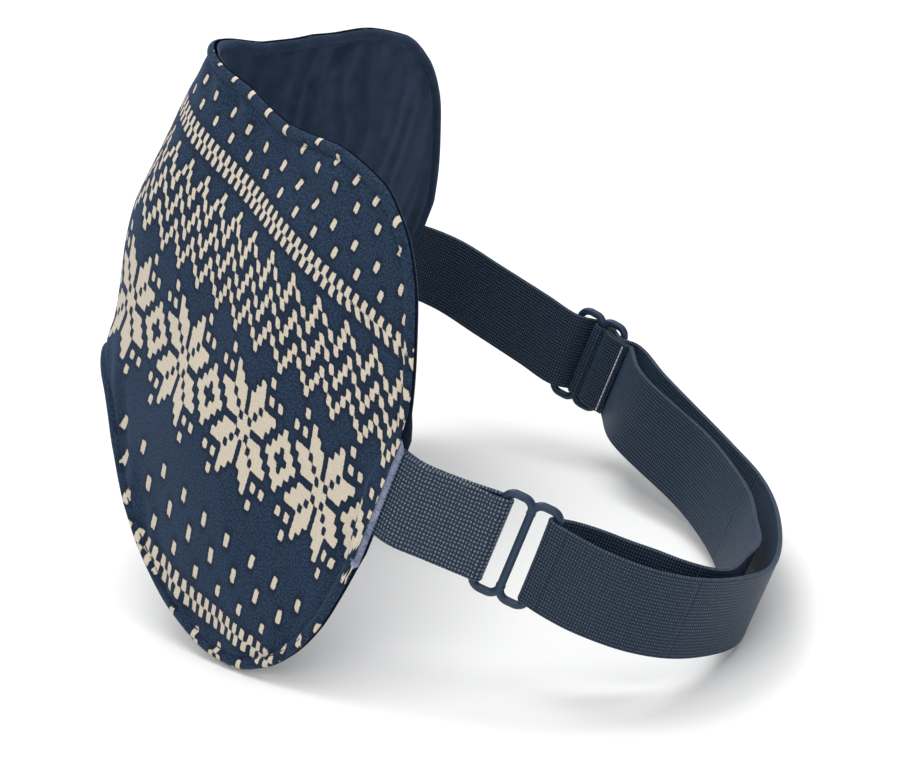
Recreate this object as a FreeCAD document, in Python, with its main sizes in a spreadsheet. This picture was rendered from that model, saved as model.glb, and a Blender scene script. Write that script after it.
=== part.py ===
"""Eye pillow: a grain-filled fabric mask bent into a U, with an adjustable elastic head strap.

Every piece is modelled in an upright frame first: x runs across the face, the front faces -y, the
strap leaves both mask ends toward +y and z runs along the strap's width. lay() then tips the whole
object back so that it stands on the two lower lobes of the mask and on the bend of the strap.
"""
import FreeCAD, Part
import math
import os
import Sketcher
from FreeCAD import Vector

doc = FreeCAD.newDocument("EyePillow")

# ---------------------------------------------------------------- driving dimensions (mm, degrees)
DIMENSIONS = {
    "half_chord": 75.0,        # mask centre to mask end, across the face
    "apex_radius": 20.0,       # bend of the mask over the nose
    "wing_angle": 44.5,        # direction of each mask half away from the face line
    "belly_out": 9.0,          # bulge of the printed side
    "belly_in": 6.0,           # bulge of the lining side
    "panel_thick": 1.2,        # each cover fabric
    "bag_thick": 0.5,          # cotton of the inner bag
    "bag_margin": 7.0,         # inner bag to the mask edge
    "seam_radius": 1.5,        # rolled edge seam
    "thread_radius": 0.35,     # topstitching
    "stitch_inset": 2.6,       # topstitching to the panel edge
    "strap_width": 20.0,
    "strap_thick": 1.2,
    "bar_size": 1.9,           # wire of ring and slider
    "bar_pitch": 6.4,          # bar to bar
    "ring_length": 25.0,       # ring and slider, along the bars
    "corner_radius": 2.1,      # of the wire's centre line
    "bar_gap": 0.08,           # clearance of an elastic eye round its bar
    "ring_x": 81.0,
    "ring_y": 29.0,
    "ring_heading": 75.0,
    "slider_x": -48.1,
    "slider_y": 48.8,
    "slider_heading": 63.0,
    "tape_width": 9.0,         # hook-and-loop tape
    "tape_thick": 0.9,
    "tip_angle": 25.2,         # lean of the standing object
    "stand_height": 47.12,     # upright frame origin above the floor
    "centre_x": 6.98,          # upright frame origin to the middle of the standing object
    "centre_y": 7.55,
}
sheet = doc.addObject("Spreadsheet::Sheet", "Dimensions")
for row, (alias, value) in enumerate(DIMENSIONS.items(), start=1):
    sheet.set("A%d" % row, alias)
    sheet.set("B%d" % row, str(value))
    sheet.setAlias("B%d" % row, alias)
doc.recompute()


def dim(alias):
    """Value of one driving dimension."""
    return float(sheet.get(alias))


# Half outline of the flat mask: distance from the centre line, upper edge, lower edge.
HALF_OUTLINE = [
    (0.0, 55.4, -19.9), (10.0, 54.8, -23.3), (20.0, 54.4, -33.8), (30.0, 54.4, -43.6), (42.0, 55.6, -51.4),
    (56.0, 57.9, -56.7), (68.0, 56.9, -58.2), (78.5, 51.6, -56.3), (87.0, 42.6, -51.0),
    (93.5, 30.5, -43.0), (98.0, 20.0, -32.5), (100.5, 12.0, -19.0),
]
END = HALF_OUTLINE[-1][0]


def interpolate(s, column):
    """Outline height at distance s from the centre line (column 1 upper, 2 lower)."""
    a = min(abs(s), END)
    for low, high in zip(HALF_OUTLINE, HALF_OUTLINE[1:]):
        if a <= high[0]:
            share = (a - low[0]) / (high[0] - low[0])
            return low[column] + share * (high[column] - low[column])
    return HALF_OUTLINE[-1][column]


def plan(s):
    """Point and heading (radians) of the mask's middle surface at distance s along it."""
    a, side = abs(s), 1.0 if s >= 0 else -1.0
    radius, wing = dim("apex_radius"), math.radians(dim("wing_angle"))
    turn = min(a / radius, wing)
    x = radius * math.sin(turn)
    y = radius * (1 - math.cos(turn))
    rest = a - radius * turn
    x += rest * math.cos(turn)
    y += rest * math.sin(turn)
    reach = (dim("half_chord") - radius * math.sin(wing)) / math.cos(wing)
    depth = radius * (1 - math.cos(wing)) + reach * math.sin(wing)
    return side * x, y - depth, side * turn


def wall_point(s, out, z):
    """Upright-frame point at distance s, out from the middle surface toward the front, height z."""
    x, y, heading = plan(s)
    return Vector(x + out * math.sin(heading), y - out * math.cos(heading), z)


def belly(s):
    """Share of the full bulge at distance s: slim over the nose, full in each lobe, slim at the ends."""
    a = abs(s) / END
    nose = 0.55 + 0.45 * min(a / 0.35, 1.0)
    return nose * math.sqrt(max(1.0 - a ** 4, 0.0)) + 0.04


def half_gap(s):
    """Half the gap between the two panels' edges: closed seam, opening only where straps leave."""
    a = abs(s)
    return 0.05 if a < END - 10 else 0.05 + 1.75 * min((a - END + 10) / 6.0, 1.0)


def crescent(s, near, far_edge, near_mid, far_mid, margin):
    """Closed section at s: a shell between two arcs that both end at the mask edge less margin."""
    top = interpolate(s, 1) - margin
    low = interpolate(s, 2) + margin
    mid = (top + low) / 2
    a1 = wall_point(s, near, top)
    a2 = wall_point(s, near_mid, mid)
    a3 = wall_point(s, near, low)
    b1 = wall_point(s, far_edge, top)
    b2 = wall_point(s, far_mid, mid)
    b3 = wall_point(s, far_edge, low)
    edges = [Part.Arc(a1, a2, a3).toShape(), Part.LineSegment(a3, b3).toShape(),
             Part.Arc(b3, b2, b1).toShape(), Part.LineSegment(b1, a1).toShape()]
    return Part.Wire(edges)


def loft(sections):
    """Closed solid through the sections."""
    solid = Part.makeLoft(sections, True, False)
    return solid if solid.Volume > 0 else solid.reversed()


def stations(limit, first=None):
    """Outline stations between first and limit, both included."""
    first = -limit if first is None else first
    inner = [row[0] for row in HALF_OUTLINE]
    inner = sorted(set([-a for a in inner] + inner))
    return [first] + [a for a in inner if first + 1.5 < a < limit - 1.5] + [limit]


def lay(obj):
    """Tip a finished piece back and stand it on the floor."""
    turn = FreeCAD.Rotation(Vector(1, 0, 0), -dim("tip_angle"))
    move = FreeCAD.Placement(Vector(-dim("centre_x"), -dim("centre_y"), dim("stand_height")), turn)
    obj.Placement = move.multiply(obj.Placement)


PIECES = []


def add_shape(label, shape):
    """Document object holding a shape built from lofts, sweeps or ribbons."""
    obj = doc.addObject("Part::Feature", label)
    obj.Label = label
    obj.Shape = shape
    PIECES.append(obj)
    return obj


# ---------------------------------------------------------------- cover panels
def panel(sign):
    """One cover fabric: sign +1 the printed front, -1 the lining."""
    thick = dim("panel_thick")
    bulge = dim("belly_out") if sign > 0 else dim("belly_in")
    sections = []
    for s in stations(END):
        gap, full = half_gap(s), bulge * belly(s)
        inner_mid = max(full - thick, gap + 0.08)
        sections.append(crescent(s, sign * gap, sign * (gap + thick), sign * inner_mid,
                                 sign * (inner_mid + thick), 0.0))
    return loft(sections)


front_shape = panel(+1)
back_shape = panel(-1)


# ---------------------------------------------------------------- inner bag and grain chambers
CHAMBER_EDGES = [-87.0, -59.0, -31.0, 0.0, 31.0, 59.0, 87.0]
CHANNEL_WIDTH = 2.0


def bag_depth(s, sign):
    """Outer face of the inner bag, kept clear of the cover panel."""
    bulge = dim("belly_out") if sign > 0 else dim("belly_in")
    return max(0.72 * bulge * belly(s) ** 1.5 - dim("panel_thick"), 0.9)


def bag_shell(sign):
    """One cotton side of the inner bag."""
    sections = []
    for s in stations(CHAMBER_EDGES[-1] + 3.0):
        depth, cloth = max(bag_depth(s, sign), 1.0), dim("bag_thick")
        sections.append(crescent(s, sign * 0.02, sign * (0.02 + 0.3), sign * (depth - cloth),
                                 sign * depth, dim("bag_margin")))
    return loft(sections)


def grain_chamber(first, last):
    """Grain between two sewn channels of the inner bag."""
    sections = []
    for s in stations(last - CHANNEL_WIDTH / 2, first + CHANNEL_WIDTH / 2):
        front = bag_depth(s, 1) - dim("bag_thick") - 0.15
        back = bag_depth(s, -1) - dim("bag_thick") - 0.15
        sections.append(crescent(s, -0.1, 0.1, -back, front, dim("bag_margin") + 2.5))
    return loft(sections)


# ---------------------------------------------------------------- edge seam and topstitching
def round_strip(points, normals, radius, sides):
    """Solid of near-round section along a chain of points, one flank turned to the normals."""
    rings = []
    for k, (point, normal) in enumerate(zip(points, normals)):
        along = points[min(k + 1, len(points) - 1)] - points[max(k - 1, 0)]
        across = along.cross(normal).normalize()
        facing = across.cross(along).normalize()
        corners = []
        for step in range(sides):
            angle = 2 * math.pi * step / sides
            corners.append(point + facing * (radius * math.cos(angle)) + across * (radius * math.sin(angle)))
        rings.append(corners)
    triangles = []
    for low, high in zip(rings, rings[1:]):
        for k in range(sides):
            after = (k + 1) % sides
            triangles += [(low[k], low[after], high[after]), (low[k], high[after], high[k])]
    for ring in (rings[0][::-1], rings[-1]):
        triangles += [(ring[0], ring[k], ring[k + 1]) for k in range(1, sides - 1)]
    faces = [Part.Face(Part.makePolygon([a, b, c, a])) for a, b, c in triangles]
    solid = Part.Solid(Part.Shell(faces))
    return solid if solid.Volume > 0 else solid.reversed()


def edge_strip(distances, out, inset, upper, radius, sides):
    """Strip along the upper or lower mask edge, inset from it, from far end to near end."""
    column, sign = (1, 1.0) if upper else (2, -1.0)
    points, normals = [], []
    for s in distances:
        z = interpolate(s, column) - sign * inset
        points.append(wall_point(s, out(s, z), z))
        normals.append(wall_point(s, 1.0, 0.0) - wall_point(s, 0.0, 0.0))
    return round_strip(points, normals, radius, sides)


def bead(upper):
    """Rolled seam holding the two panels' edges."""
    radius = dim("seam_radius")
    return edge_strip(stations(END), lambda s, z: 0.0, -radius, upper, radius, 10)


def surface_out(s, z):
    """Outer face of the printed panel at distance s and height z (circular section)."""
    top, low = interpolate(s, 1), interpolate(s, 2)
    edge = half_gap(s) + dim("panel_thick")
    mid = max(dim("belly_out") * belly(s), edge + 0.01)
    half, rise = (top - low) / 2, mid - edge
    radius = (half * half + rise * rise) / (2 * rise)
    away = z - (top + low) / 2
    return edge + rise - radius + math.sqrt(radius * radius - away * away)


def topstitch(upper):
    """Thread lying on the printed panel just inside the edge seam."""
    radius = dim("thread_radius")
    return edge_strip(stations(END - 5.0), lambda s, z: surface_out(s, z) + radius,
                      dim("stitch_inset"), upper, radius, 8)


# ---------------------------------------------------------------- ribbons, ring and slider
def ribbon_face(points, thick):
    """Flat face of a ribbon's edge: a smooth centre line thickened to both sides."""
    centre = Part.BSplineCurve()
    centre.interpolate([Vector(x, y, 0) for x, y in points])
    total, chunk = centre.length(), 8
    count = max(int(total / 1.2 / chunk), 1) * chunk
    left, right = [], []
    for step in range(count + 1):
        value = centre.parameterAtDistance(total * step / count, centre.FirstParameter)
        spot, tangent = centre.value(value), centre.tangent(value)[0]
        across = Vector(-tangent.y, tangent.x, 0) * (thick / 2)
        left.append(spot + across)
        right.append(spot - across)
    edges = []
    for side, after in ((left, right[-1]), (right[::-1], left[0])):
        for start in range(0, count, chunk):
            piece = Part.BSplineCurve()
            piece.interpolate(side[start:start + chunk + 1])
            edges.append(piece.toShape())
        edges.append(Part.LineSegment(side[-1], after).toShape())
    return Part.Face(Part.Wire(edges))


def ribbon(points, thick, width):
    """Elastic band standing on edge, centred on z = 0."""
    face = ribbon_face(points, thick)
    face.translate(Vector(0, 0, -width / 2))
    return face.extrude(Vector(0, 0, width))


def bar_centres(name):
    """Centres of the three bars of the ring or slider and their out direction."""
    x, y = dim(name + "_x"), dim(name + "_y")
    heading = math.radians(dim(name + "_heading"))
    along = Vector(math.cos(heading), math.sin(heading), 0)
    centre = Vector(x, y, 0)
    return [centre - along * dim("bar_pitch"), centre, centre + along * dim("bar_pitch")], along


def rounded_rectangle(sketch, prefix, side, reach_cell, width_cell, height_cell, radius_cell):
    """Rounded rectangle, its far edge reach_cell from the origin toward side; cells size it."""
    first = len(sketch.Geometry)
    w, t, r = 2.0, 8.0, 0.5
    cx = side * (w + 1.0)
    corners = [(cx - w, -t), (cx + w, -t), (cx + w, t), (cx - w, t)]
    for (x1, y1), (x2, y2) in zip(corners, corners[1:] + corners[:1]):
        dx, dy = (x2 > x1) - (x2 < x1), (y2 > y1) - (y2 < y1)
        sketch.addGeometry(Part.LineSegment(Vector(x1 + dx * r, y1 + dy * r, 0),
                                            Vector(x2 - dx * r, y2 - dy * r, 0)), False)
    spots = [(cx + w - r, -t + r, -90), (cx + w - r, t - r, 0), (cx - w + r, t - r, 90),
             (cx - w + r, -t + r, 180)]
    for x, y, start in spots:
        circle = Part.Circle(Vector(x, y, 0), Vector(0, 0, 1), r)
        sketch.addGeometry(Part.ArcOfCircle(circle, math.radians(start), math.radians(start + 90)), False)
    for k in range(4):
        line, arc, after = first + k, first + 4 + k, first + (k + 1) % 4
        sketch.addConstraint(Sketcher.Constraint("Tangent", line, 2, arc, 1))
        sketch.addConstraint(Sketcher.Constraint("Tangent", arc, 2, after, 1))
    for k in (0, 2):
        sketch.addConstraint(Sketcher.Constraint("Horizontal", first + k))
        sketch.addConstraint(Sketcher.Constraint("Vertical", first + k + 1))
    for k in (5, 6, 7):
        sketch.addConstraint(Sketcher.Constraint("Equal", first + 4, first + k))
    reach = (-1, 1, first + 1, 1) if side > 0 else (first + 3, 1, -1, 1)
    sized = [("Radius", Sketcher.Constraint("Radius", first + 4, r), radius_cell),
             ("Width", Sketcher.Constraint("DistanceX", first + 3, 1, first + 1, 1, 2 * w), width_cell),
             ("Height", Sketcher.Constraint("DistanceY", first, 1, first + 2, 1, 2 * t), height_cell),
             ("Reach", Sketcher.Constraint("DistanceX", *reach, 2 * w + 1.0), reach_cell),
             ("Foot", Sketcher.Constraint("DistanceY", first, 1, -1, 1, t), "(%s) / 2" % height_cell)]
    for name, constraint, cell in sized:
        index = sketch.addConstraint(constraint)
        sketch.renameConstraint(index, prefix + name)
        sketch.setExpression("Constraints.%s%s" % (prefix, name), cell)


def three_bar_body(label, name):
    """Ring or slider: two rounded windows side by side that share the middle bar."""
    body = doc.addObject("PartDesign::Body", label)
    body.Label = label
    planes = {feature.Role: feature for feature in body.Origin.OriginFeatures}
    plane, across = planes["XY_Plane"], planes["XZ_Plane"]
    for word, side in (("Left", -1), ("Right", 1)):
        sketch = body.newObject("Sketcher::SketchObject", label + word)
        sketch.AttachmentSupport = [(plane, "")]
        sketch.MapMode = "FlatFace"
        rounded_rectangle(sketch, "Window", side, "Dimensions.bar_pitch", "Dimensions.bar_pitch",
                          "Dimensions.ring_length - Dimensions.bar_size", "Dimensions.corner_radius")
        wire = body.newObject("Sketcher::SketchObject", label + word + "Wire")
        wire.AttachmentSupport = [(across, "")]
        wire.MapMode = "FlatFace"
        wire.addGeometry(Part.Circle(Vector(side * 6.0, 0, 0), Vector(0, 0, 1), 1.0), False)
        wire.addConstraint(Sketcher.Constraint("Radius", 0, 1.0))
        wire.setExpression("Constraints[0]", "Dimensions.bar_size / 2")
        wire.addConstraint(Sketcher.Constraint("PointOnObject", 0, 3, -1))
        ends = (-1, 1, 0, 3) if side > 0 else (0, 3, -1, 1)
        wire.addConstraint(Sketcher.Constraint("DistanceX", *ends, 6.0))
        wire.setExpression("Constraints[2]", "Dimensions.bar_pitch")
        doc.recompute()
        pipe = body.newObject("PartDesign::AdditivePipe", label + word + "Pipe")
        pipe.Profile = wire
        pipe.Spine = (sketch, [])
        doc.recompute()
    body.Tip = pipe
    heading = dim(name + "_heading")
    stand = FreeCAD.Rotation(Vector(0, 0, 1), heading).multiply(FreeCAD.Rotation(Vector(1, 0, 0), 90))
    body.Placement = FreeCAD.Placement(Vector(dim(name + "_x"), dim(name + "_y"), 0), stand)
    PIECES.append(body)
    return body


def eye(centre, radius, thick, width):
    """Sleeve of elastic round a bar, and the hole through it."""
    base = Vector(centre.x, centre.y, -width / 2)
    sleeve = Part.makeCylinder(radius + thick, width, base)
    return sleeve, Part.makeCylinder(radius, width + 4, base - Vector(0, 0, 2))


# ================================================================ build every piece
strap_w, strap_t = dim("strap_width"), dim("strap_thick")
eye_radius = dim("bar_size") / 2 + dim("bar_gap")
ring_bars, ring_along = bar_centres("ring")
slider_bars, slider_along = bar_centres("slider")
ring_out = Vector(ring_along.y, -ring_along.x, 0)
slider_out = Vector(-slider_along.y, slider_along.x, 0)


def xy(vector):
    """Plan coordinates of a point."""
    return vector.x, vector.y


add_shape("front_panel", front_shape)
add_shape("back_panel", back_shape)
for upper, word in ((True, "upper"), (False, "lower")):
    add_shape("edge_seam_" + word, bead(upper))
    add_shape("topstitch_" + word, topstitch(upper))
add_shape("bag_front", bag_shell(+1))
add_shape("bag_back", bag_shell(-1))
for number, (first, last) in enumerate(zip(CHAMBER_EDGES, CHAMBER_EDGES[1:]), start=1):
    add_shape("grain_fill_%d" % number, grain_chamber(first, last))

# short elastic loop: both layers sewn at the near mask end, folded round the ring's first bar
loop_line = [xy(wall_point(END - 4.5, -0.6, 0)), xy(wall_point(END, -0.8, 0)), (77.2, 4.0), (78.6, 11.0),
             xy(ring_bars[0] - ring_along * 1.9)]
outer, hole = eye(ring_bars[0], eye_radius, strap_t, strap_w - 2)
short_loop = ribbon(loop_line, 2 * strap_t, strap_w).fuse(outer).cut(hole).removeSplitter()
add_shape("short_loop", short_loop)

ring = three_bar_body("near_ring", "ring")
slider = three_bar_body("adjuster_slider", "slider")

# long elastic: far mask end, weave through the slider, round the back, round the ring, back inside
wrap = dim("bar_size") / 2 + 2 * dim("bar_gap") + strap_t / 2
over = wrap + strap_t + 0.4
far_end = [xy(wall_point(4.5 - END, 0.0, 0)), xy(wall_point(-END, 0.0, 0))]
weave = [(-73.8, 9.5), (-64.8, 22.0), (-55.6, 34.0), xy(slider_bars[0] - slider_out * (wrap + 0.4)),
         xy(slider_bars[1] + slider_out * over), xy(slider_bars[2] - slider_out * wrap),
         xy(slider_bars[1] + slider_along * 10.5 - slider_out * 0.3)]
outer_run = [(-28.2, 64.6), (1.2, 79.6), (15.5, 86.0), (31.0, 88.6), (54.5, 87.4), (68.7, 83.4), (79.0, 75.6),
             (86.6, 66.0), (89.9, 56.0), (89.2, 45.0), (86.6, 38.4)]
turn = [xy(ring_bars[2] + ring_out * wrap), xy(ring_bars[2] + (ring_out - ring_along) * (wrap * 0.7071)),
        xy(ring_bars[2] - ring_along * wrap), xy(ring_bars[2] - (ring_out + ring_along) * (wrap * 0.7071)),
        xy(ring_bars[2] - ring_out * wrap)]
inner_run = [(79.6, 39.5), (78.6, 46.0), (79.6, 55.0), (80.4, 63.0), (76.8, 71.5), (68.0, 78.0), (56.0, 81.8),
             (42.5, 83.0), (27.0, 82.0), (13.0, 78.4), (1.5, 73.6), (-24.0, 58.2)]
stitch_spot = slider_bars[1] + slider_along * 9.6 - slider_out * (wrap + strap_t + 1.0)
head_strap = ribbon(far_end + weave + outer_run + turn + inner_run + [xy(stitch_spot + slider_along * 0.6)],
                    strap_t, strap_w)
add_shape("head_strap", head_strap)

# sewn end of the long elastic: a doubled tab closed round the slider's middle bar
outer, hole = eye(slider_bars[1], eye_radius, strap_t, strap_w - 2)
tab_line = [xy(slider_bars[1] - slider_out * 0.9), xy(slider_bars[1] + slider_along * 4.0 - slider_out * 3.2),
            xy(stitch_spot)]
end_tab = ribbon(tab_line, 1.9, strap_w - 2).fuse(outer).cut(hole).cut(head_strap).removeSplitter()
add_shape("strap_end_tab", end_tab)


def stitch_bar(spot, length):
    """Thread bar of a sewn line across an elastic."""
    base = Vector(spot.x, spot.y, -length / 2)
    return Part.makeCylinder(dim("thread_radius") + 0.15, length, base)


tab_stitch = stitch_bar(stitch_spot - slider_along * 1.2 - slider_out * 1.05, strap_w - 3)
add_shape("strap_end_stitching", tab_stitch.cut(end_tab))


def tape(label, out, first, last, low, top):
    """Tape lying along the wall between two distances and heights."""
    far = out + dim("tape_thick")
    corners = [wall_point(first, out, low), wall_point(last, out, low), wall_point(last, far, low),
               wall_point(first, far, low)]
    wire = Part.makePolygon(corners + corners[:1])
    return add_shape(label, Part.Face(wire).extrude(Vector(0, 0, top - low)))


# hook-and-loop tapes inside the near opening
tape("opening_loop_tape", 0.85, END + 0.6 - dim("tape_width") * 0.45, END + 0.9, -17.5, 11.0)
tape("opening_hook_tape", -1.75, END - 7.2, END - 5.0, -16.0, 10.0)

for piece in PIECES:
    lay(piece)
doc.recompute()

# ---------------------------------------------------------------- checks and export
failed = [o.Name for o in doc.Objects if "Invalid" in o.State or "Error" in o.State]
if failed:
    raise RuntimeError("failed objects: %s" % failed)
os.makedirs("parts", exist_ok=True)
for piece in PIECES:
    shape = piece.Shape
    if shape.isNull() or not shape.isValid():
        raise RuntimeError("bad shape: %s" % piece.Label)
    box = shape.BoundBox
    ranges = (box.XMin, box.XMax, box.YMin, box.YMax, box.ZMin, box.ZMax)
    print("%-22s vol %9.1f  x %7.1f %7.1f  y %7.1f %7.1f  z %7.1f %7.1f" % ((piece.Label, shape.Volume) + ranges))
    shape.exportStep("parts/%s.step" % piece.Label)
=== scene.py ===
"""Eye pillow standing on its lower lobes, with its elastic head strap.

The mask is worked out on its unrolled cloth: s runs along the cloth from the middle of the nose
bend, z runs up the cloth, and every surface is a function of the two. Lengths are in millimetres
until Stance.place() tips the object back and turns them into metres in the row frame.
"""

import logging
import math
from dataclasses import dataclass, field
from enum import Enum
from typing import Callable, Dict, List, Sequence, Tuple

import bpy
import numpy as np
from mathutils import Matrix, Vector


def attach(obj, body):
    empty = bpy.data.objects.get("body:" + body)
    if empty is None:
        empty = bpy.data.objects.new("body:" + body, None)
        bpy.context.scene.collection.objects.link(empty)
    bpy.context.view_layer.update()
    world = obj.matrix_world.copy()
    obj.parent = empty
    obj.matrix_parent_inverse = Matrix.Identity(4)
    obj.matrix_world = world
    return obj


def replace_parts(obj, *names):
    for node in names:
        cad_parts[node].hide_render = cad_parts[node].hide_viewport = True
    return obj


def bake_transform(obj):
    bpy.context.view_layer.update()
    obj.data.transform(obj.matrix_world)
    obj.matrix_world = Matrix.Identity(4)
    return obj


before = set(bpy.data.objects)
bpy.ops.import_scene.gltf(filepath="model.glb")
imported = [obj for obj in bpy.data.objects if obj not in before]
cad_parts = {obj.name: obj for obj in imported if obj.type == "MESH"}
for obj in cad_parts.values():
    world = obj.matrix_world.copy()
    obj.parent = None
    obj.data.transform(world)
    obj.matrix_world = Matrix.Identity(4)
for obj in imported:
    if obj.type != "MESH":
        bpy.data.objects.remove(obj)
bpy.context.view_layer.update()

logging.basicConfig(level=logging.INFO, format="%(levelname)s %(message)s")
LOG = logging.getLogger("eye_pillow")

Array = np.ndarray


class Body(Enum):
    """CAD bodies that pieces ride on."""

    PILLOW = "pillow"
    RING = "ring"
    SLIDER = "slider"


# ---------------------------------------------------------------- form
def smooth_through(x: Array, xs: Sequence[float], ys: Sequence[float]) -> Array:
    """Monotone cubic through given points.

    Each span is the cubic with the limited average slopes of its two neighbours, so the curve
    never overshoots a point.

    Args:
        x: Places to evaluate.
        xs: Rising abscissas of the points.
        ys: Ordinates of the points.

    Returns:
        The curve's values at x.
    """
    px, py = np.asarray(xs, float), np.asarray(ys, float)
    step = np.diff(px)
    slope = np.diff(py) / step
    tangent = np.zeros(len(px))
    same = slope[:-1] * slope[1:] > 0
    harmonic = np.zeros(len(slope) - 1)
    harmonic[same] = 2 * slope[:-1][same] * slope[1:][same] / (slope[:-1][same] + slope[1:][same])
    tangent[1:-1] = harmonic
    tangent[-1] = slope[-1]
    i = np.clip(np.searchsorted(px, x) - 1, 0, len(step) - 1)
    t = np.clip((x - px[i]) / step[i], 0, 1)
    return ((1 + 2 * t) * (1 - t) ** 2 * py[i] + t * (1 - t) ** 2 * step[i] * tangent[i]
            + t * t * (3 - 2 * t) * py[i + 1] + t * t * (t - 1) * step[i] * tangent[i + 1])


@dataclass(frozen=True)
class Stance:
    """How the upright object is tipped back and set on the floor."""

    tip_degrees: float = 25.2
    shift: Tuple[float, float, float] = (-6.98, -7.55, 47.12)

    def place(self, points: Array) -> Array:
        """Turn upright millimetres into row-frame metres.

        The points turn about the x axis by the tip angle, then move by the shift.

        Args:
            points: Rows of x, y, z.

        Returns:
            Rows of x, y, z in metres.
        """
        a = math.radians(self.tip_degrees)
        x, y, z = np.asarray(points, float).reshape(-1, 3).T
        turned = np.stack([x, y * math.cos(a) + z * math.sin(a), z * math.cos(a) - y * math.sin(a)], -1)
        return (turned + np.array(self.shift)) / 1000.0


@dataclass(frozen=True)
class MaskForm:
    """Unrolled outline and bent middle surface of the mask."""

    distances: Tuple[float, ...] = (0, 10, 20, 30, 42, 56, 68, 78.5, 87, 93.5, 98, 100.5)
    upper: Tuple[float, ...] = (55.4, 54.8, 54.4, 54.4, 55.6, 57.9, 56.9, 51.6, 42.6, 30.5, 20, 12)
    lower: Tuple[float, ...] = (-19.9, -23.3, -33.8, -43.6, -51.4, -56.7, -58.2, -56.3, -51, -43, -32.5, -19)
    half_chord: float = 75.0
    apex_radius: float = 20.0
    wing_degrees: float = 44.5
    seam: float = 2.6

    @property
    def end(self) -> float:
        """Distance from the nose bend to a mask end."""
        return self.distances[-1]

    def top(self, s: Array) -> Array:
        """Upper edge of the cloth, the rolled seam included; the far half stands slightly taller."""
        lean = -2.3 * np.sign(s) * np.clip((np.abs(s) - 22) / 15, 0, 1)
        return smooth_through(np.abs(s), self.distances, self.upper) + self.seam + lean

    def bottom(self, s: Array) -> Array:
        """Lower edge of the cloth, the rolled seam included."""
        return smooth_through(np.abs(s), self.distances, self.lower) - self.seam

    def plan(self, s: Array) -> Tuple[Array, Array, Array]:
        """Point and heading of the middle surface: an arc over the nose, then a straight wing."""
        a, side = np.abs(s), np.sign(s) + (s == 0)
        wing = math.radians(self.wing_degrees)
        turn = np.minimum(a / self.apex_radius, wing)
        rest = a - self.apex_radius * turn
        x = self.apex_radius * np.sin(turn) + rest * np.cos(turn)
        y = self.apex_radius * (1 - np.cos(turn)) + rest * np.sin(turn)
        reach = (self.half_chord - self.apex_radius * math.sin(wing)) / math.cos(wing)
        depth = self.apex_radius * (1 - math.cos(wing)) + reach * math.sin(wing)
        return side * x, y - depth, side * turn

    def wall(self, s: Array, out: Array, z: Array) -> Array:
        """Upright point at distance s, out toward the front from the middle surface, height z."""
        x, y, heading = self.plan(s)
        return np.stack([x + out * np.sin(heading), y - out * np.cos(heading), z + 0 * s], -1)

    def edge_distance(self, s: Array, z: Array) -> Array:
        """Shortest way to the closed outline on the unrolled cloth.

        Args:
            s: Distances along the cloth.
            z: Heights on the cloth.

        Returns:
            For each point, its distance to the closed outline: to the nearer of the two chords
            that meet at the closest outline point.
        """
        run = np.linspace(-self.end, self.end, 200)
        side = np.linspace(0, 1, 32)[1:-1]
        low, high = float(self.bottom(np.array([self.end]))[0]), float(self.top(np.array([self.end]))[0])
        far_high = float(self.top(np.array([-self.end]))[0])
        outline = np.concatenate([
            np.stack([run, self.top(run)], -1),
            np.stack([np.full(30, self.end), high + (low - high) * side], -1),
            np.stack([run[::-1], self.bottom(run[::-1])], -1),
            np.stack([np.full(30, -self.end), low + (far_high - low) * side], -1)])
        points = np.stack([s.ravel(), z.ravel()], -1)
        nearest = np.empty(len(points))
        for first in range(0, len(points), 8192):
            block = points[first:first + 8192]
            closest = ((block[:, None] - outline[None]) ** 2).sum(-1).argmin(1)
            best = np.full(len(block), np.inf)
            for step in (-1, 1):
                start, stop = outline[closest], outline[(closest + step) % len(outline)]
                chord = stop - start
                share = ((block - start) * chord).sum(-1) / (chord ** 2).sum(-1)
                foot = start + np.clip(share, 0, 1)[:, None] * chord
                best = np.minimum(best, np.linalg.norm(block - foot, axis=-1))
            nearest[first:first + 8192] = best
        return nearest.reshape(s.shape)


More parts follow.
